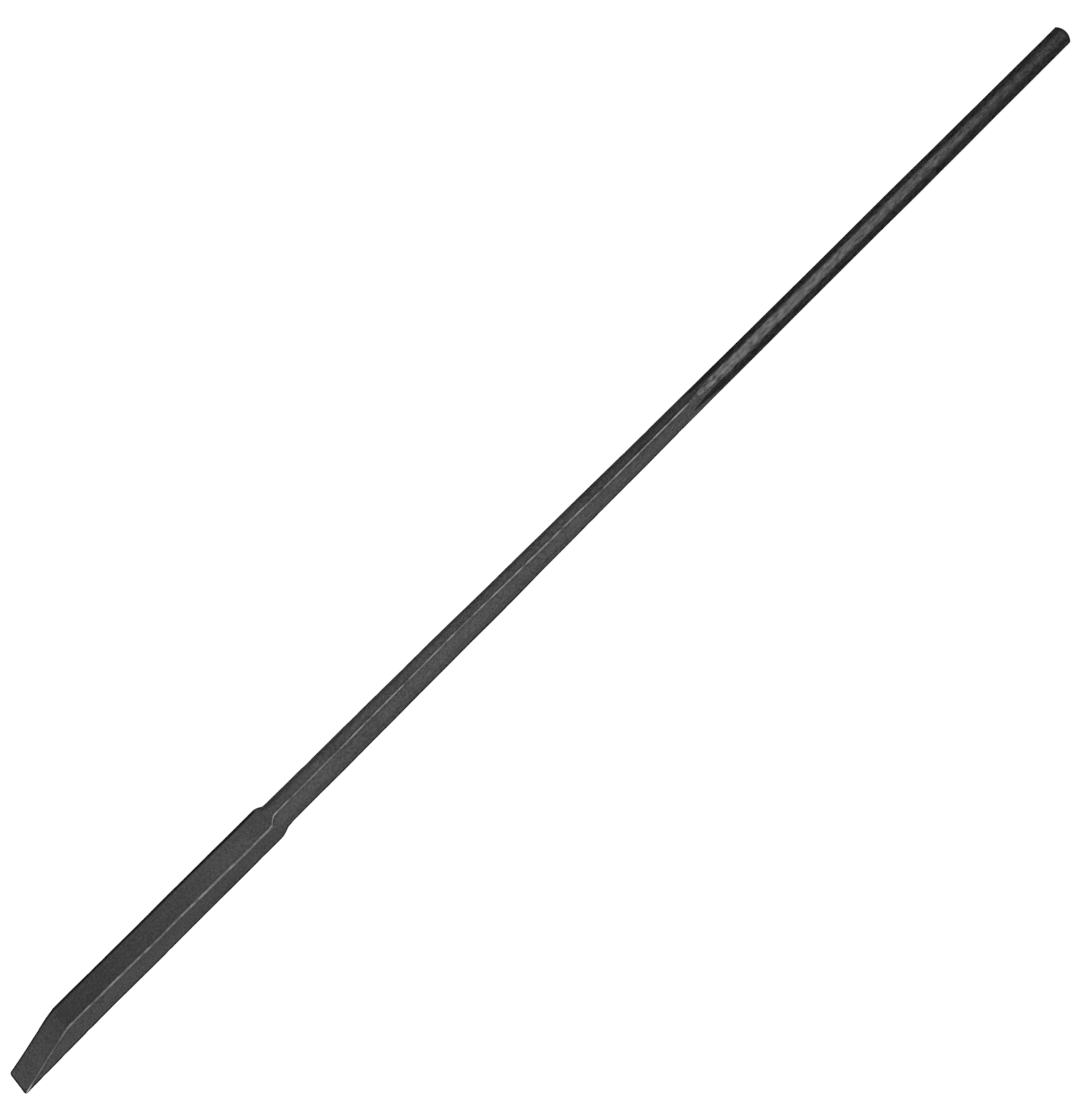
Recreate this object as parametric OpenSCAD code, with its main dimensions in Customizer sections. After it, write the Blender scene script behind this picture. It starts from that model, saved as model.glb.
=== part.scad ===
// Long chisel-pointed bar, forged from one length of square steel.
// The bar lies along X with its cutting edge at -X and its struck head at +X.
// It rests on the flat underside of its blade, and z = 0 is that underside.
// The sections meet face to face and are one continuous forging.

/* [Bar] */
// Overall length, from the cutting edge to the top of the struck head
bar_length = 1524; // [1450:1:1700]
// Side of the square stock that the blade keeps
stock_side = 31.75; // [28:0.05:36]
// Radius on the long edges of the blade
blade_edge_r = 2.3; // [0.5:0.1:4]

/* [Point] */
// Length of the single bevel, along the bar
bevel_length = 82; // [50:1:110]
// Thickness left at the cutting edge
nose_thickness = 2; // [0.8:0.1:4]
// How far each side of the edge spreads past the stock, drawn out by forging
edge_spread = 1; // [0:0.1:2]
// Radius on the two corners of the cutting edge
edge_corner_r = 3; // [0.5:0.1:5]

/* [Blade and shoulder] */
// Length of the square blade behind the bevel
blade_length = 290; // [200:1:350]
// Length of the shoulder where the square is forged down to an octagon
shoulder_length = 20; // [10:1:40]

/* [Octagonal shank] */
// Across flats where the shank leaves the shoulder
shank_af_front = 31; // [26:0.1:34]
// Across flats at the point where the taper quickens
shank_af_middle = 29.2; // [25:0.1:31]
// Across flats at the back end
shank_af_back = 23.3; // [21:0.1:24]
// Length of the slow taper
slow_taper_length = 229; // [150:1:300]
// Length of the quick taper
quick_taper_length = 346; // [250:1:400]

/* [Run-out and handle] */
// Length over which the eight flats die out into the round
run_out_length = 59; // [30:1:80]
// Diameter where the round handle starts
handle_front_d = 24.1; // [24.1:0.1:26]
// Diameter of the straight grip
grip_d = 23.1; // [22:0.1:24]
// Length of the taper in front of the grip
front_taper_length = 144; // [80:1:200]
// Length of the straight grip
grip_length = 130; // [80:1:160]
// Diameter at the struck end
head_d = 21.8; // [20:0.1:22]
// Height of the domed end
dome_height = 4.5; // [2:0.1:8]

/* [Hidden] */
$fn = 96;

// Thickness of a section that a hull spans from, and the facets of a hull's curves
slab = 0.01;
hull_sides = 32;

half_side = stock_side / 2;
axis_z = half_side;

// Stations along the bar, measured back from the cutting edge
blade_start = bevel_length;
shoulder_start = blade_start + blade_length;
shank_start = shoulder_start + shoulder_length;
quick_taper_start = shank_start + slow_taper_length;
run_out_start = quick_taper_start + quick_taper_length;
handle_start = run_out_start + run_out_length;
head_start = bar_length - dome_height;
handle_length = head_start - handle_start;

// Steps in each rounded corner of the cutting edge
corner_steps = 12;

// The ball that the domed head is cut from
dome_r = (pow(head_d / 2, 2) + pow(dome_height, 2)) / (2 * dome_height);

// Places a shape that grows along Z so that it grows back along the bar from a station
module at_station(station) {
    translate([station - bar_length / 2, 0, axis_z]) rotate([0, 90, 0]) children();
}

// Section of the square blade with its rounded long edges, spread past the stock on each side
module blade_section(corner_fn, spread = 0) {
    inner = half_side - blade_edge_r;
    square([stock_side, 2 * (inner + spread)], center = true);
    square([2 * inner, stock_side + 2 * spread], center = true);
    for (up = [-1, 1], across = [-1, 1])
        translate([up * inner, across * (inner + spread)])
            circle(blade_edge_r, $fn = corner_fn);
}

// Thin octagon with one pair of flats level and one pair upright
module octagon_slab(across_flats) {
    rotate(22.5) cylinder(slab, d = across_flats / cos(22.5), $fn = 8);
}

// Plan of the bevelled end: the edge is at x = 0 and both its corners are rounded
module edge_plan() {
    corner_y = half_side + edge_spread - edge_corner_r;
    rounded_edge = [
        for (side = [1, -1], i = [0:corner_steps])
            let (facing = 90 * (side > 0 ? 1 : 2) + 90 * i / corner_steps)
            [edge_corner_r, side * corner_y] + edge_corner_r * [cos(facing), sin(facing)]
    ];
    polygon(concat([[bevel_length, -half_side], [bevel_length, half_side]], rounded_edge));
}

// Side view of the bevelled end: flat below, sloping above
module bevel_side() {
    polygon([
        [0, 0],
        [bevel_length, 0],
        [bevel_length, stock_side],
        [0, nose_thickness]
    ]);
}

// Bevelled end before the bevel is cut, as wide as the blade behind and spread at the edge
module spread_end() {
    hull() {
        at_station(0) linear_extrude(slab) blade_section(hull_sides, edge_spread);
        at_station(bevel_length - slab) linear_extrude(slab) blade_section(hull_sides);
    }
}

module point() {
    color("#3b3b3d")
    intersection() {
        spread_end();
        translate([-bar_length / 2, 0, 0]) linear_extrude(stock_side) edge_plan();
        translate([-bar_length / 2, half_side + edge_spread, 0]) rotate([90, 0, 0])
            linear_extrude(stock_side + 2 * edge_spread) bevel_side();
    }
}

module blade() {
    color("#333335")
    at_station(blade_start) linear_extrude(blade_length) blade_section($fn);
}

module shoulder() {
    color("#38383a")
    hull() {
        at_station(shoulder_start) linear_extrude(slab) blade_section(hull_sides);
        at_station(shank_start - slab) octagon_slab(shank_af_front);
    }
}

module octagonal_shank() {
    color("#363638")
    hull() {
        at_station(shank_start) octagon_slab(shank_af_front);
        at_station(quick_taper_start) octagon_slab(shank_af_middle);
        at_station(run_out_start - slab) octagon_slab(shank_af_back);
    }
}

module run_out() {
    color("#333335")
    hull() {
        at_station(run_out_start) octagon_slab(shank_af_back);
        at_station(handle_start - slab) cylinder(slab, d = handle_front_d, $fn = hull_sides);
    }
}

module handle() {
    color("#2b2b2d")
    at_station(handle_start)
    rotate_extrude()
        polygon([
            [0, 0],
            [handle_front_d / 2, 0],
            [grip_d / 2, front_taper_length],
            [grip_d / 2, front_taper_length + grip_length],
            [head_d / 2, handle_length],
            [0, handle_length]
        ]);
}

module head() {
    color("#262628")
    at_station(head_start)
    intersection() {
        cylinder(dome_height, d = head_d);
        translate([0, 0, dome_height - dome_r]) sphere(dome_r);
    }
}

point();
blade();
shoulder();
octagonal_shank();
run_out();
handle();
head();
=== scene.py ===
"""Long chisel-pointed steel bar: detailed meshes, black forged finish, studio and camera.

Every piece is a skin of rings along the bar. A ring is the bar's cross-section at one station:
straight faces joined by round corners. Stations are metres back from the cutting edge.
"""

import math

import bpy
import numpy as np
from mathutils import Matrix, Vector, noise


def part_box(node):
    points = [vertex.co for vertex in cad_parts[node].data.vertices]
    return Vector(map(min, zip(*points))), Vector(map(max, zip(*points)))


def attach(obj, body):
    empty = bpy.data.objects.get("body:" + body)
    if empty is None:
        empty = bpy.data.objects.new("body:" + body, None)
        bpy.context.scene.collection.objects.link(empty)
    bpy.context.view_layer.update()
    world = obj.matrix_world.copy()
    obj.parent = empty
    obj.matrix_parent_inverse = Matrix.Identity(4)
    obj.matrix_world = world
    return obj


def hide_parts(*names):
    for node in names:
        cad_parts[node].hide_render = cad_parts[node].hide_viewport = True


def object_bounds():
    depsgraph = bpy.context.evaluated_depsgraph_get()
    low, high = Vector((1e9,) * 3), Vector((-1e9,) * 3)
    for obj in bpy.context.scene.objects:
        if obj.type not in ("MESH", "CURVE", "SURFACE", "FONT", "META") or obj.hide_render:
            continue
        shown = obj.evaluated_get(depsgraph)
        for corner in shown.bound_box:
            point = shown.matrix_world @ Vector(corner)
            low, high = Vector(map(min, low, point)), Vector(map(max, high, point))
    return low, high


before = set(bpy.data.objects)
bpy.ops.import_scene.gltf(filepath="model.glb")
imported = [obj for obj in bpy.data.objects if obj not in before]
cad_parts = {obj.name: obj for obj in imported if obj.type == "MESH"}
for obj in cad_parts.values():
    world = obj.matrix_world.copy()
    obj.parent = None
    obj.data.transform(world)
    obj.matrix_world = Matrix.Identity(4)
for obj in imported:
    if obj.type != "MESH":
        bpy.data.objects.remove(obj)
cad_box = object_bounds()

MM = 0.001

# ---------------------------------------------------------------- sizes from the frame
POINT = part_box("point")
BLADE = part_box("blade")
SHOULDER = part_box("shoulder")
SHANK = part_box("octagonal_shank")
RUN_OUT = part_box("run_out")
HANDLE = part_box("handle")
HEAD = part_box("head")

TIP_X = POINT[0][0]
BAR_LENGTH = HEAD[1][0] - TIP_X
AXIS_Z = (BLADE[0][2] + BLADE[1][2]) / 2
HALF_SIDE = (BLADE[1][2] - BLADE[0][2]) / 2

BEVEL_END = BLADE[0][0] - TIP_X
SHOULDER_START = SHOULDER[0][0] - TIP_X
SHANK_START = SHANK[0][0] - TIP_X
RUN_OUT_START = RUN_OUT[0][0] - TIP_X
HANDLE_START = HANDLE[0][0] - TIP_X
HEAD_START = HEAD[0][0] - TIP_X

EDGE_SPREAD = (POINT[1][1] - POINT[0][1]) / 2 - HALF_SIDE
SHANK_FRONT_HALF = (SHANK[1][1] - SHANK[0][1]) / 2
HANDLE_FRONT_R = (HANDLE[1][1] - HANDLE[0][1]) / 2
HEAD_R = (HEAD[1][1] - HEAD[0][1]) / 2

# ---------------------------------------------------------------- sizes of the forging
SKIN_INSET = 0.05 * MM
BLADE_HALF = HALF_SIDE - SKIN_INSET
NOSE_THICKNESS = 2.0 * MM
FAR_CORNER_R = 5.0 * MM
NEAR_CORNER_R = 2.6 * MM
BLADE_EDGE_R = 2.3 * MM
TIP_EDGE_R = 1.0 * MM
BEVEL_EDGE_R = 1.3 * MM
SHANK_EDGE_R = 2.5 * MM
TAPER_KNEE = SHANK_START + 229 * MM
SHANK_MIDDLE_HALF = 14.6 * MM
SHANK_BACK_HALF = 11.65 * MM
GRIP_START = HANDLE_START + 144 * MM
GRIP_END = GRIP_START + 130 * MM
GRIP_R = 11.55 * MM
SMALLEST_FLAT = 0.3 * MM

# The corners of the blade are knocked down to flats over these stations
FAR_TOP_STEP = (SHOULDER_START, SHOULDER_START + 8.5 * MM)
NEAR_TOP_STEP = (SHOULDER_START + 4 * MM, SHOULDER_START + 15 * MM)
BOTTOM_STEP = (SHOULDER_START, SHOULDER_START + 12.5 * MM)
BOTTOM_TAIL = (SHOULDER_START + 12.5 * MM, SHOULDER_START + 22 * MM)

# The round cuts into the octagon's corners over these stations
ROUND_CUT = (RUN_OUT_START + 12 * MM, RUN_OUT_START + 42 * MM)

# Slight twists that forging left in the bar: station, degrees, reach along the bar
TWISTS = (
    (40 * MM, -2.2, 110 * MM),
    (370 * MM, 3.2, 150 * MM),
    (640 * MM, -3.2, 110 * MM),
    (860 * MM, 2.4, 90 * MM),
)
# A small wave of twist all along: degrees, length
TWIST_WAVE = (1.6, 38 * MM)

# Forging marks: depth, and size along and across the bar
BROAD_MARKS = (0.35 * MM, 60 * MM, 18 * MM)
SMALL_MARKS = (0.05 * MM, 11 * MM, 6 * MM)
EDGE_NICKS = (0.80 * MM, 9 * MM, 5 * MM)
NICK_LEVEL = 0.25

# Tone of each corner, in the order of the ring's faces: above 0 rubbed bright with a painted
# highlight, below 0 painted dark as outline shade
SQUARE_TONES = (-1.0, 1.0, -1.0, -1.0)
EIGHT_TONES = (-1.0, -0.3, 1.0, 0.12, -1.0, -0.4, -0.4, -0.4)

# Painted shade on a face beside a dark corner and beside a bright one, and where it fades out
OUTLINE_SHADE_SPREAD = 0.9
RIDGE_SHADE_HALO = 0.25
SPREAD_REACH = (1.2 * MM, 2.5 * MM)

# ---------------------------------------------------------------- small helpers


def ramp(value, start, end):
    return min(max((value - start) / (end - start), 0.0), 1.0)


def ease(value, start, end):
    part = ramp(value, start, end)
    return part * part * (3 - 2 * part)


def mix(a, b, part):
    return a + (b - a) * part


def soft_lower(a, b, reach):
    """The lower of two heights, with the change from one to the other rounded over reach."""
    gap = max(reach - abs(a - b), 0.0) / reach
    return min(a, b) - gap * gap * reach / 4


def spaced(start, end, step):
    count = max(2, round((end - start) / step))
    return [mix(start, end, i / count) for i in range(count + 1)]


# ---------------------------------------------------------------- cross-sections


def beside_corner(tone, away):
    """Tone of a face near a corner: painted shade beside both kinds of corner, fading with distance.
    """
    beside = OUTLINE_SHADE_SPREAD * min(tone, 0) - RIDGE_SHADE_HALO * max(tone, 0)
    return beside * (1 - ramp(away, *SPREAD_REACH))


def fillet_ring(faces, radii, tones, arc_steps):
    """Points of a convex outline of straight faces and round corners, with tones, none turned.

    faces holds (angle in degrees, distance from the centre, intervals along the face).
    radii and tones belong to the corner after each face; a tone above 0 is rubbed bright with a
    painted highlight, and one below 0 is painted dark as outline shade. Angles count from +Y toward
    +Z.
    """
    count = len(faces)
    normals = [
        Vector((math.cos(math.radians(angle)), math.sin(math.radians(angle))))
        for angle, _, _ in faces
    ]
    centres = []
    for i in range(count):
        j = (i + 1) % count
        near, far = normals[i], normals[j]
        wall_a = faces[i][1] - radii[i]
        wall_b = faces[j][1] - radii[i]
        turn = near.x * far.y - near.y * far.x
        centres.append(
            Vector((
                (wall_a * far.y - wall_b * near.y) / turn,
                (wall_b * near.x - wall_a * far.x) / turn,
            ))
        )
    points, edges = [], []
    for i in range(count):
        j = (i + 1) % count
        start = faces[i][0]
        sweep = (faces[j][0] - start) % 360
        for k in range(arc_steps + 1):
            angle = math.radians(start + sweep * k / arc_steps)
            points.append(centres[i] + radii[i] * Vector((math.cos(angle), math.sin(angle))))
            edges.append(max(tones[i], 0) * math.sin(math.pi * k / arc_steps) + min(tones[i], 0))
        face_start = points[-1]
        face_end = centres[j] + radii[j] * normals[j]
        width = (face_end - face_start).length
        steps = faces[j][2]
        for k in range(1, steps):
            points.append(face_start.lerp(face_end, k / steps))
            after_last = beside_corner(tones[i], width * k / steps)
            before_next = beside_corner(tones[j], width * (1 - k / steps))
            edges.append(min(after_last, before_next))
    return points, edges, [0.0] * len(points)


def point_side(station):
    """Half the width of the bevelled end, which forging spread a little toward the edge."""
    return BLADE_HALF + EDGE_SPREAD * (1 - ramp(station, 0, BEVEL_END))


def bevel_top(station):
    slope = (2 * HALF_SIDE - NOSE_THICKNESS) / BEVEL_END
    return soft_lower(NOSE_THICKNESS + slope * station, 2 * HALF_SIDE - SKIN_INSET, 2.5 * MM)


def point_ring(station):
    """The bevelled end, with its top following the bevel down to the nose."""
    half = BLADE_HALF
    side = point_side(station)
    top = bevel_top(station) - HALF_SIDE
    room = (top + half) / 2 - 0.1 * MM
    bottom_r = min(mix(TIP_EDGE_R, BLADE_EDGE_R, ramp(station, 0, BEVEL_END)), room)
    top_r = min(mix(BEVEL_EDGE_R, BLADE_EDGE_R, ease(station, 66 * MM, BEVEL_END)), room)
    faces = ((0, side, 20), (90, top, 30), (180, side, 20), (270, half, 30))
    # Near the nose the ridge's tone goes above 1: brighter worn metal, partly a painted highlight
    ridge = 2 - ramp(station, 3 * MM, 14 * MM)
    points, edges, turned = fillet_ring(
        faces, (top_r, top_r, bottom_r, bottom_r), (-1.0, ridge, -1.0, -1.0), 8
    )
    # At the nose the corners that aren't bright are painted dark, as shade along the outline
    at_nose = 1 - ramp(station, 1.0 * MM, 2.2 * MM)
    edges = [mix(edge, -1.0, at_nose) if edge <= 0 else edge for edge in edges]
    return points, edges, turned


def blade_ring(station):
    """The square stretch, with the same section at every station."""
    half = BLADE_HALF
    faces = ((0, half, 20), (90, half, 20), (180, half, 20), (270, half, 20))
    return fillet_ring(faces, (BLADE_EDGE_R,) * 4, SQUARE_TONES, 8)


def shank_half(station):
    """Half the distance across the main flats, behind the shoulder."""
    if station < TAPER_KNEE:
        part = ramp(station, SHANK_START, TAPER_KNEE)
        return mix(SHANK_FRONT_HALF, SHANK_MIDDLE_HALF, part)
    part = ramp(station, TAPER_KNEE, RUN_OUT_START)
    return mix(SHANK_MIDDLE_HALF, SHANK_BACK_HALF, part)


def eight_sided_ring(station):
    """Shoulder and shank: four main faces and four that cut off the corners."""
    half = mix(
        BLADE_HALF, shank_half(station), ease(station, SHOULDER_START, SHANK_START)
    )
    radius = mix(BLADE_EDGE_R, SHANK_EDGE_R, ease(station, SHOULDER_START, SHANK_START))
    to_corner = math.sqrt(2) * (half - radius) + radius - SMALLEST_FLAT / 2
    far_top = mix(to_corner, half, ramp(station, *FAR_TOP_STEP) ** 1.5)
    near_top = mix(to_corner, half, 1 - (1 - ramp(station, *NEAR_TOP_STEP)) ** 2)
    sunk = 0.8 * ramp(station, *BOTTOM_STEP) ** 1.6 + 0.2 * ramp(station, *BOTTOM_TAIL)
    bottom = mix(to_corner, half, sunk)
    faces = (
        (0, half, 12), (45, far_top, 8), (90, half, 12), (135, near_top, 8),
        (180, half, 12), (225, bottom, 8), (270, half, 12), (315, bottom, 8),
    )
    near_ridge, near_side = EIGHT_TONES[2:4]
    # The near ridge is brighter behind the shoulder and toward the run-out: partly worn metal,
    # partly a painted highlight
    bare_and_highlight = 0.4 * (1 - ramp(station, NEAR_TOP_STEP[1], NEAR_TOP_STEP[1] + 8 * MM))
    bare_and_highlight += 0.4 * ramp(station, RUN_OUT_START - 120 * MM, RUN_OUT_START)
    tones = (
        *EIGHT_TONES[:2], near_ridge + bare_and_highlight,
        mix(near_side, near_ridge, 1 - ramp(station, *NEAR_TOP_STEP)), *EIGHT_TONES[4:],
    )
    return fillet_ring(faces, (radius,) * 8, tones, 8)


def octagon_reach(angle, half, radius):
    """Distance from the centre to a round-cornered octagon, at an angle from a face."""
    flat_end = (half - radius) * math.tan(math.radians(22.5))
    if half * math.tan(angle) <= flat_end:
        return half / math.cos(angle)
    centre = (half - radius) / math.cos(math.radians(22.5))
    off = math.radians(22.5) - angle
    return centre * math.cos(off) + math.sqrt(radius**2 - (centre * math.sin(off)) ** 2)


def run_out_ring(station):
    """Run-out: the octagon, cut by a round that reaches its flats at the handle."""
    rise = ramp(station, ROUND_CUT[0], HANDLE_START - 8 * MM) ** 0.7
    half = mix(SHANK_BACK_HALF, HANDLE_FRONT_R, rise)
    corner = octagon_reach(math.radians(22.5), SHANK_BACK_HALF, SHANK_EDGE_R) + 0.05 * MM
    cut = mix(corner, HANDLE_FRONT_R, 1 - (1 - ramp(station, *ROUND_CUT)) ** 2)
    # The corners' painted highlight and painted outline shade fade out as the round cuts them away
    edge_tone_fade = 1 - ramp(station, RUN_OUT_START + 15 * MM, RUN_OUT_START + 24 * MM)
    points, edges, turned = [], [], []
    for k in range(160):
        turn = 2 * math.pi * k / 160
        from_face = abs((turn + math.pi / 8) % (math.pi / 4) - math.pi / 8)
        flat = octagon_reach(from_face, half, SHANK_EDGE_R)
        reach = soft_lower(flat, cut, 0.06 * MM)
        points.append(reach * Vector((math.cos(turn), math.sin(turn))))
        turned.append(ramp(flat - cut, -0.05 * MM, 0.05 * MM))
        into_corner = ramp(math.degrees(from_face), 18.0, 22.5)
        edges.append(1.4 * EIGHT_TONES[int(math.degrees(turn) // 45)] * edge_tone_fade * into_corner)
    return points, edges, turned


def round_ring(station):
    """Handle: a true circle."""
    if station < GRIP_START:
        radius = mix(HANDLE_FRONT_R, GRIP_R, ramp(station, HANDLE_START, GRIP_START))
    else:
        radius = mix(GRIP_R, HEAD_R, ramp(station, GRIP_END, HEAD_START))
    turns = [2 * math.pi * k / 128 for k in range(128)]
    points = [radius * Vector((math.cos(a), math.sin(a))) for a in turns]
    return points, [0.0] * len(points), [1.0] * len(points)


# ---------------------------------------------------------------- skins


def twist_at(station):
    """Twist of the section in radians: a few broad ones, and a small wave all along."""
    wave, length = TWIST_WAVE
    degrees = wave * noise.noise(Vector((station / length, 0.3, 0.7)))
    for centre, angle, reach in TWISTS:
        degrees += angle * math.exp(-(((station - centre) / reach) ** 2))
    return math.radians(degrees)


def place(station, point):
    """Where a point of a section lies in the frame: twisted, and moved up to the bar's axis."""
    turned = Matrix.Rotation(twist_at(station), 2) @ point
    return Vector((TIP_X + station, turned.x, AXIS_Z + turned.y))


def grid_normals(grid):
    along = np.empty_like(grid)
    along[1:-1] = grid[2:] - grid[:-2]
    along[0] = grid[1] - grid[0]
    along[-1] = grid[-1] - grid[-2]
    around = np.roll(grid, -1, axis=1) - np.roll(grid, 1, axis=1)
    normals = np.cross(around, along)
    return normals / np.linalg.norm(normals, axis=2, keepdims=True)


def patch(point, along, across):
    return noise.noise(Vector((point[0] / along, point[1] / across, point[2] / across)))


def forging_mark(point, edge, strength):
    depth, along, across = BROAD_MARKS
    height = depth * patch(point, along, across)
    depth, along, across = SMALL_MARKS
    height += depth * patch(point, along, across)
    depth, along, across = EDGE_NICKS
    height -= depth * min(abs(edge), 1.0) * max(patch(point, along, across) - NICK_LEVEL, 0.0)
    return height * strength


def skin(name, stations, ring, strength=1.0, bend=None):
    """A closed piece from its first station to its last, with its two ends capped.

    One more ring beyond each end is made and dropped, so that the shading runs on into the
    next piece. bend moves the points of a ring, given the station.
    """
    first, last = stations[0], stations[-1]
    before = first - (stations[1] - first)
    after = last + (last - stations[-2])
    rows, edge_rows, turned_rows = [], [], []
    for station in [before, *stations, after]:
        points, edges, turned = ring(station)
        placed = [place(station, p) for p in points]
        if bend:
            placed = [bend(station, p) for p in placed]
        rows.append([tuple(p) for p in placed])
        edge_rows.append(edges)
        turned_rows.append(turned)
    grid, edge = np.array(rows), np.array(edge_rows)
    normals = grid_normals(grid)
    height = np.array([
        [forging_mark(p, e, strength) for p, e in zip(row, edges)]
        for row, edges in zip(grid, edge)
    ])
    grid = np.clip(grid + normals * height[..., None], *cad_box)
    normals = grid_normals(grid)
    values = {"edge": edge[1:-1], "turned": np.array(turned_rows)[1:-1]}
    return solid(name, grid[1:-1], normals[1:-1], values)


def solid(name, grid, normals, attributes):
    rings, count = grid.shape[:2]
    faces = []
    for i in range(rings - 1):
        for j in range(count):
            k = (j + 1) % count
            faces.append((i * count + j, i * count + k, (i + 1) * count + k, (i + 1) * count + j))
    front_cap = tuple(range(count - 1, -1, -1))
    back_cap = tuple(range((rings - 1) * count, rings * count))
    mesh = bpy.data.meshes.new(name)
    mesh.from_pydata(grid.reshape(-1, 3).tolist(), [], [*faces, front_cap, back_cap])
    mesh.polygons.foreach_set("use_smooth", [True] * len(mesh.polygons))
    flat = normals.reshape(-1, 3)
    corners = [tuple(flat[v]) for face in faces for v in face]
    corners += [(-1, 0, 0)] * count + [(1, 0, 0)] * count
    mesh.normals_split_custom_set(corners)
    for key, values in attributes.items():
        layer = mesh.attributes.new(key, "FLOAT", "POINT")
        layer.data.foreach_set("value", values.reshape(-1).tolist())
    piece = bpy.data.objects.new(name, mesh)
    bpy.context.collection.objects.link(piece)
    return piece


# ---------------------------------------------------------------- the pieces


def corner_setback(into_corner, radius):
    """How far a rounded corner of the edge lies behind the edge, seen from above."""
    reach = min(max(into_corner, 0.0), radius)
    return radius - math.sqrt(radius**2 - reach**2)


def round_nose(station, point):
    """Rounds the two corners of the cutting edge, fading out up the bevel."""
    side = point_side(station)
    setback = corner_setback(point.y - side + FAR_CORNER_R, FAR_CORNER_R)
    setback += corner_setback(-point.y - side + NEAR_CORNER_R, NEAR_CORNER_R)
    fade = 1 - ramp(station, 0, BEVEL_END)
    return point + Vector((setback * fade, 0, 0))


def make_point():
    stations = spaced(0, 8 * MM, 0.8 * MM) + spaced(8 * MM, BEVEL_END, 2 * MM)[1:]
    return skin("point_skin", stations, point_ring, bend=round_nose)


def make_blade():
    return skin("blade_skin", spaced(BEVEL_END, SHOULDER_START, 2.5 * MM), blade_ring)


def make_shoulder():
    return skin("shoulder_skin", spaced(SHOULDER_START, SHANK_START, 0.8 * MM), eight_sided_ring)


def make_shank():
    return skin("shank_skin", spaced(SHANK_START, RUN_OUT_START, 2.5 * MM), eight_sided_ring)


def make_run_out():
    return skin("run_out_skin", spaced(RUN_OUT_START, HANDLE_START, 1.2 * MM), run_out_ring)


def make_handle():
    return skin("handle_skin", spaced(HANDLE_START, HEAD_START, 2.5 * MM), round_ring, 0.6)


def head_ring(station):
    height = BAR_LENGTH - HEAD_START
    ball = (HEAD_R**2 + height**2) / (2 * height)
    up = min(station, BAR_LENGTH - 0.02 * MM) - (BAR_LENGTH - ball)
    radius = HEAD_R if station <= HEAD_START else math.sqrt(ball**2 - up**2)
    turns = [2 * math.pi * k / 128 for k in range(128)]
    points = [radius * Vector((math.cos(a), math.sin(a))) for a in turns]
    return points, [0.0] * len(points), [1.0] * len(points)


def make_head():
    height = BAR_LENGTH - HEAD_START
    stations = [HEAD_START + height * math.sin(math.pi / 2 * k / 16) for k in range(16)]
    stations.append(BAR_LENGTH - 0.02 * MM)
    return skin("head_skin", stations, head_ring, 0.3)


# ---------------------------------------------------------------- materials

# Linear shades of grey, roughness, and the shader's specular level. They were chosen by
# comparing renders with the photo under this scene's own lights, so they aren't measured paint
FLAT_DARK = 0.017
FLAT_LIGHT = 0.041
FLAT_SPECULAR = 0.05
# Painted shade: the upper faces darken to this share of their grey toward the run-out
TOP_END_PAINTED_SHADE_GAIN = 0.5
# Lighter grey of the rubbed ridge: partly worn metal, partly a painted highlight
EDGE_SHADE = 0.055
EDGE_ROUGH = 0.34
EDGE_SPECULAR = 0.7
# Brighter grey where the ridge is worn to metal: partly that, partly a painted highlight
BARE_AND_HIGHLIGHT_SHADE = 0.22
# Near-black painted shade on the corners along the outline
OUTLINE_PAINTED_SHADE = 0.003
ROUND_SPECULAR = 0.48
GRIP_SPECULAR = 0.39
ROUND_SHADE = 0.007
ROUND_ROUGH = 0.24

# The upper faces' painted shade and the handle's gloss change along the bar over these stations
TOP_DIMS_OVER = (RUN_OUT_START - 220 * MM, RUN_OUT_START + 20 * MM)
GLOSS_DULLS_OVER = (HANDLE_START + 60 * MM, GRIP_END + 20 * MM)
GLOSS_RETURNS_OVER = (GRIP_END + 100 * MM, HEAD_START - 40 * MM)


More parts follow.
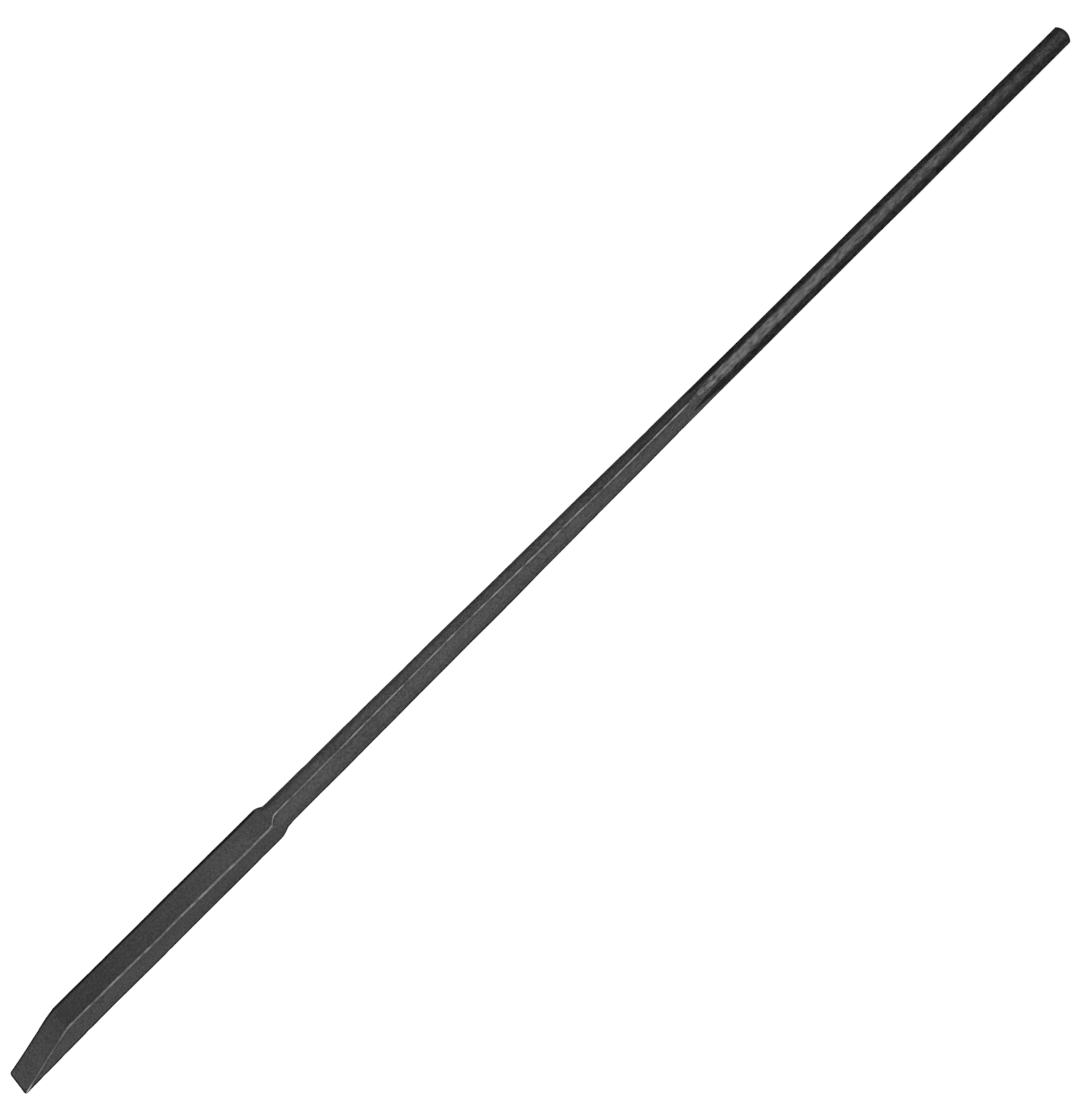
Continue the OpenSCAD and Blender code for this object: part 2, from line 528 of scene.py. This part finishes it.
class Graph:
    """Short names for the shader nodes that the finish is made of."""

    def __init__(self, name):
        self.material = bpy.data.materials.new(name)
        self.material.use_nodes = True
        self.nodes = self.material.node_tree.nodes
        self.links = self.material.node_tree.links
        self.shader = self.nodes["Principled BSDF"]

    def feed(self, socket, value):
        if isinstance(value, (int, float, tuple)):
            socket.default_value = value
        else:
            self.links.new(value, socket)

    def position(self, stretch):
        """Place on the bar, shrunk along the bar so that patterns come out that much longer."""
        coordinates = self.nodes.new("ShaderNodeTexCoord")
        mapping = self.nodes.new("ShaderNodeMapping")
        mapping.inputs["Scale"].default_value = (1 / stretch, 1, 1)
        self.links.new(coordinates.outputs["Object"], mapping.inputs["Vector"])
        return mapping.outputs["Vector"]

    def noise(self, size, stretch=1.0, detail=4.0, roughness=0.6):
        node = self.nodes.new("ShaderNodeTexNoise")
        node.inputs["Scale"].default_value = 1 / size
        node.inputs["Detail"].default_value = detail
        node.inputs["Roughness"].default_value = roughness
        self.links.new(self.position(stretch), node.inputs["Vector"])
        return node.outputs["Fac"]

    def map(self, value, low, high, to_low, to_high, smooth=False):
        node = self.nodes.new("ShaderNodeMapRange")
        node.interpolation_type = "SMOOTHSTEP" if smooth else "LINEAR"
        for key, number in zip(("From Min", "From Max", "To Min", "To Max"),
                               (low, high, to_low, to_high)):
            node.inputs[key].default_value = number
        self.feed(node.inputs["Value"], value)
        return node.outputs["Result"]

    def math(self, kind, a, b):
        node = self.nodes.new("ShaderNodeMath")
        node.operation = kind
        self.feed(node.inputs[0], a)
        self.feed(node.inputs[1], b)
        return node.outputs["Value"]

    def mix(self, part, a, b):
        node = self.nodes.new("ShaderNodeMix")
        self.feed(node.inputs["Factor"], part)
        self.feed(node.inputs["A"], a)
        self.feed(node.inputs["B"], b)
        return node.outputs["Result"]

    def attribute(self, key):
        node = self.nodes.new("ShaderNodeAttribute")
        node.attribute_name = key
        return node.outputs["Fac"]

    def facing_up(self):
        """1 on the faces that look up, 0 on the sides."""
        geometry = self.nodes.new("ShaderNodeNewGeometry")
        parts = self.nodes.new("ShaderNodeSeparateXYZ")
        self.links.new(geometry.outputs["Normal"], parts.inputs["Vector"])
        return self.map(parts.outputs["Z"], 0.6, 0.9, 0, 1)

    def along(self, start, end):
        """0 up to one station, 1 from another, smooth in between."""
        coordinates = self.nodes.new("ShaderNodeTexCoord")
        parts = self.nodes.new("ShaderNodeSeparateXYZ")
        self.links.new(coordinates.outputs["Object"], parts.inputs["Vector"])
        return self.map(parts.outputs["X"], TIP_X + start, TIP_X + end, 0, 1, smooth=True)

    def grey(self, value):
        node = self.nodes.new("ShaderNodeCombineColor")
        for key in ("Red", "Green", "Blue"):
            self.feed(node.inputs[key], value)
        return node.outputs["Color"]

    def bump(self, height, distance, strength):
        node = self.nodes.new("ShaderNodeBump")
        node.inputs["Distance"].default_value = distance
        node.inputs["Strength"].default_value = strength
        self.links.new(height, node.inputs["Height"])
        self.links.new(node.outputs["Normal"], self.shader.inputs["Normal"])


def forged_finish(name, start, end, top_start, top_end):
    """Matt black forge-scaled flats, mottled and streaked, rubbed lighter along the edges.
    The lighter ridge is partly a painted highlight, and the dark corners are painted shade.

    Between the two stations the upper face goes from top_start to top_end times the sides' shade.
    That change was matched to the photo's brightness, and is painted light and shade on the upper
    face rather than its paint.
    """
    g = Graph(name)
    broad = g.map(g.noise(30 * MM, 2.0), 0.35, 0.65, 0, 1)
    fine = g.map(g.noise(2 * MM, 1.3, 3.0, 0.6), 0.36, 0.64, 0, 1)
    blotch = g.math("ADD", g.math("MULTIPLY", broad, 0.25), g.math("MULTIPLY", fine, 0.75))
    # Painted light and shade on the upper faces: lighter or darker along the bar, darker toward the
    # run-out
    upper = g.mix(g.along(start, end), top_start, top_end)
    upper = g.mix(g.along(*TOP_DIMS_OVER), upper, TOP_END_PAINTED_SHADE_GAIN)
    pitted = g.math("MULTIPLY", g.along(SHOULDER_START, SHANK_START + 60 * MM), 0.3)
    pits = g.math("MULTIPLY", pitted, g.map(g.noise(1.8 * MM, 2.0, 4.0, 0.7), 0.38, 0.62, -1, 1))
    upper = g.math("MULTIPLY", upper, g.math("ADD", pits, 1))
    gain = g.mix(g.facing_up(), 1, upper)
    flat_shade = g.math("MULTIPLY", g.mix(blotch, FLAT_DARK, FLAT_LIGHT), gain)
    flat_rough = g.map(fine, 0, 1, 0.50, 0.62)
    # The edge tone paints the corners: the lit ridge lighter and glossier, partly worn and partly a
    # painted highlight; the other corners near black, as painted shade along the outline
    tone = g.attribute("edge")
    rub_and_highlight = g.math("MULTIPLY", g.map(tone, 0, 1, 0, 1), g.map(g.noise(14 * MM), 0.37, 0.63, 0.12, 1.3))
    outline_shade_mask = g.map(tone, 0, -1, 0, 1)
    wear_and_highlight_shade = g.mix(g.map(tone, 1, 2, 0, 1), g.mix(rub_and_highlight, flat_shade, EDGE_SHADE), BARE_AND_HIGHLIGHT_SHADE)
    shade = g.mix(outline_shade_mask, wear_and_highlight_shade, OUTLINE_PAINTED_SHADE)
    rough = g.mix(rub_and_highlight, flat_rough, EDGE_ROUGH)
    gloss = g.mix(outline_shade_mask, g.mix(rub_and_highlight, FLAT_SPECULAR, EDGE_SPECULAR), 0)
    turned = g.attribute("turned")
    shade = g.mix(turned, shade, ROUND_SHADE)
    rough = g.mix(turned, rough, ROUND_ROUGH)
    gloss = g.mix(turned, gloss, round_gloss(g))
    g.feed(g.shader.inputs["Base Color"], g.grey(shade))
    g.feed(g.shader.inputs["Roughness"], rough)
    g.feed(g.shader.inputs["Specular IOR Level"], gloss)
    g.bump(g.noise(1.6 * MM, 1.5, 5.0), 0.10 * MM, 0.5)
    return g.material


def round_gloss(g):
    """Patchy gloss of the round stretch, patchiest at its start and dullest behind the grip."""
    grain = g.map(g.noise(2.6 * MM, 3.5, 4.0, 0.7), 0.35, 0.65, -1, 1)
    contrast = g.mix(g.along(RUN_OUT_START, HANDLE_START + 60 * MM), 0.6, 0.27)
    level = g.mix(g.along(*GLOSS_DULLS_OVER), ROUND_SPECULAR, GRIP_SPECULAR)
    level = g.mix(g.along(*GLOSS_RETURNS_OVER), level, ROUND_SPECULAR)
    gloss = g.math("ADD", level, g.math("MULTIPLY", grain, contrast))
    return g.math("MULTIPLY", gloss, g.mix(g.along(HEAD_START - 3 * MM, HEAD_START + 1 * MM), 1, 0))


def round_finish(name):
    """Satin black on the handle and head, with specks in its shade and streaks in its roughness."""
    g = Graph(name)
    streak = g.map(g.noise(7 * MM, 2.5, 5.0, 0.7), 0.35, 0.65, 0, 1)
    speck = g.map(g.noise(2.6 * MM, 2.5, 4.0, 0.7), 0.38, 0.62, ROUND_SHADE * 0.6, ROUND_SHADE * 2)
    g.feed(g.shader.inputs["Base Color"], g.grey(speck))
    g.feed(g.shader.inputs["Roughness"], g.map(streak, 0, 1, ROUND_ROUGH - 0.03, ROUND_ROUGH + 0.03))
    g.feed(g.shader.inputs["Specular IOR Level"], round_gloss(g))
    g.bump(g.noise(5 * MM, 2.0, 5.0), 0.35 * MM, 0.7)
    return g.material


# ---------------------------------------------------------------- stage, lights and camera

# The camera leans from straight overhead toward -Y, and the bar crosses the picture diagonally
VIEW_TILT = math.radians(33)
BAR_ROLL = math.radians(44.79)
LENS_MM = 120
SENSOR_MM = 36
FRAME_LONG_SIDE = 1144.3 * MM
FRAME_SHIFT = 0.9 * MM
FRAME_DROP = 4.9 * MM

FLOOR_SIZE = 12.0
FLOOR_SHADE = (0.05, 0.05, 0.05, 1)
FLOOR_GLOW = 0.98
WORLD_STRENGTH = 2.1


def make_floor():
    """A pale floor that glows by itself: evenly white, with no shadow, like the photo's ground."""
    mesh = bpy.data.meshes.new("floor")
    far = FLOOR_SIZE
    corners = ((-far, -far, 0), (far, -far, 0), (far, far, 0), (-far, far, 0))
    mesh.from_pydata(corners, [], [(0, 1, 2, 3)])
    floor = bpy.data.objects.new("floor", mesh)
    bpy.context.collection.objects.link(floor)
    material = bpy.data.materials.new("pale_floor")
    material.use_nodes = True
    shader = material.node_tree.nodes["Principled BSDF"]
    shader.inputs["Base Color"].default_value = FLOOR_SHADE
    shader.inputs["Roughness"].default_value = 0.9
    shader.inputs["Specular IOR Level"].default_value = 0.1
    shader.inputs["Emission Color"].default_value = (1, 1, 1, 1)
    shader.inputs["Emission Strength"].default_value = FLOOR_GLOW
    mesh.materials.append(material)
    floor.visible_glossy = False


def view_axis():
    """From the bar toward the camera."""
    return Vector((0, -math.sin(VIEW_TILT), math.cos(VIEW_TILT)))


def aim(thing, place_at, back, right):
    """Puts a camera or light at a place, looking along minus back, with its right side given."""
    up = back.cross(right)
    turn = Matrix((right, up, back)).transposed().to_4x4()
    thing.matrix_world = Matrix.Translation(place_at) @ turn


def make_camera():
    data = bpy.data.cameras.new("camera")
    data.lens = LENS_MM
    data.sensor_width = SENSOR_MM
    camera = bpy.data.objects.new("camera", data)
    bpy.context.collection.objects.link(camera)
    distance = FRAME_LONG_SIDE * LENS_MM / SENSOR_MM
    middle = Vector((TIP_X + BAR_LENGTH / 2 + FRAME_SHIFT, 0, AXIS_Z))
    back = view_axis()
    along = Vector((1, 0, 0))
    near_side = along.cross(back)
    right = math.cos(BAR_ROLL) * along + math.sin(BAR_ROLL) * near_side
    aim(camera, middle + FRAME_DROP * near_side + distance * back, back, right)
    bpy.context.scene.camera = camera


def area_light(name, power, size_along, size_across, elevation, distance, centre_x=0.0):
    """A soft panel over the bar. elevation counts from the camera's side, over the top."""
    data = bpy.data.lights.new(name, "AREA")
    data.shape = "RECTANGLE"
    data.size = size_along
    data.size_y = size_across
    data.energy = power
    panel = bpy.data.objects.new(name, data)
    bpy.context.collection.objects.link(panel)
    angle = math.radians(elevation)
    back = Vector((0, -math.cos(angle), math.sin(angle)))
    aim(panel, Vector((centre_x, 0, AXIS_Z)) + distance * back, back, Vector((1, 0, 0)))
    panel.visible_camera = False
    return panel


def make_lights():
    """The softbox gives only highlights; the low fill and the world give only matt light."""
    softbox = area_light(
        "softbox", power=94, size_along=2.4, size_across=4.2, elevation=66, distance=2.0,
        centre_x=-0.22,
    )
    softbox.visible_diffuse = False
    fill = area_light(
        "low_fill", power=39, size_along=3.0, size_across=0.6, elevation=8, distance=2.0
    )
    fill.visible_glossy = False
    world = bpy.data.worlds.new("studio")
    bpy.context.scene.world = world
    world.use_nodes = True
    background = world.node_tree.nodes["Background"]
    background.inputs["Color"].default_value = (1, 1, 1, 1)
    background.inputs["Strength"].default_value = WORLD_STRENGTH
    world.cycles_visibility.glossy = False


# ---------------------------------------------------------------- putting it together

# The two numbers after the stations paint light and shade on the upper face along the bar
BEVEL = forged_finish("forged_bevel", 0, BEVEL_END, 1.15, 0.84)
FLATS = forged_finish("forged_flats", BEVEL_END, SHOULDER_START, 0.65, 0.97)
ROUND = round_finish("satin_round")

PIECES = (
    (make_point, "point", "bevel", BEVEL),
    (make_blade, "blade", "flats", FLATS),
    (make_shoulder, "shoulder", "flats", FLATS),
    (make_shank, "octagonal_shank", "flats", FLATS),
    (make_run_out, "run_out", "flats", FLATS),
    (make_handle, "handle", "round", ROUND),
    (make_head, "head", "round", ROUND),
)
for make, node, slot, material in PIECES:
    piece = make()
    piece.data.materials.append(material)
    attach(piece, "root")
    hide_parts(node)

make_floor()
make_lights()
make_camera()
bpy.context.scene.view_settings.view_transform = "Standard"
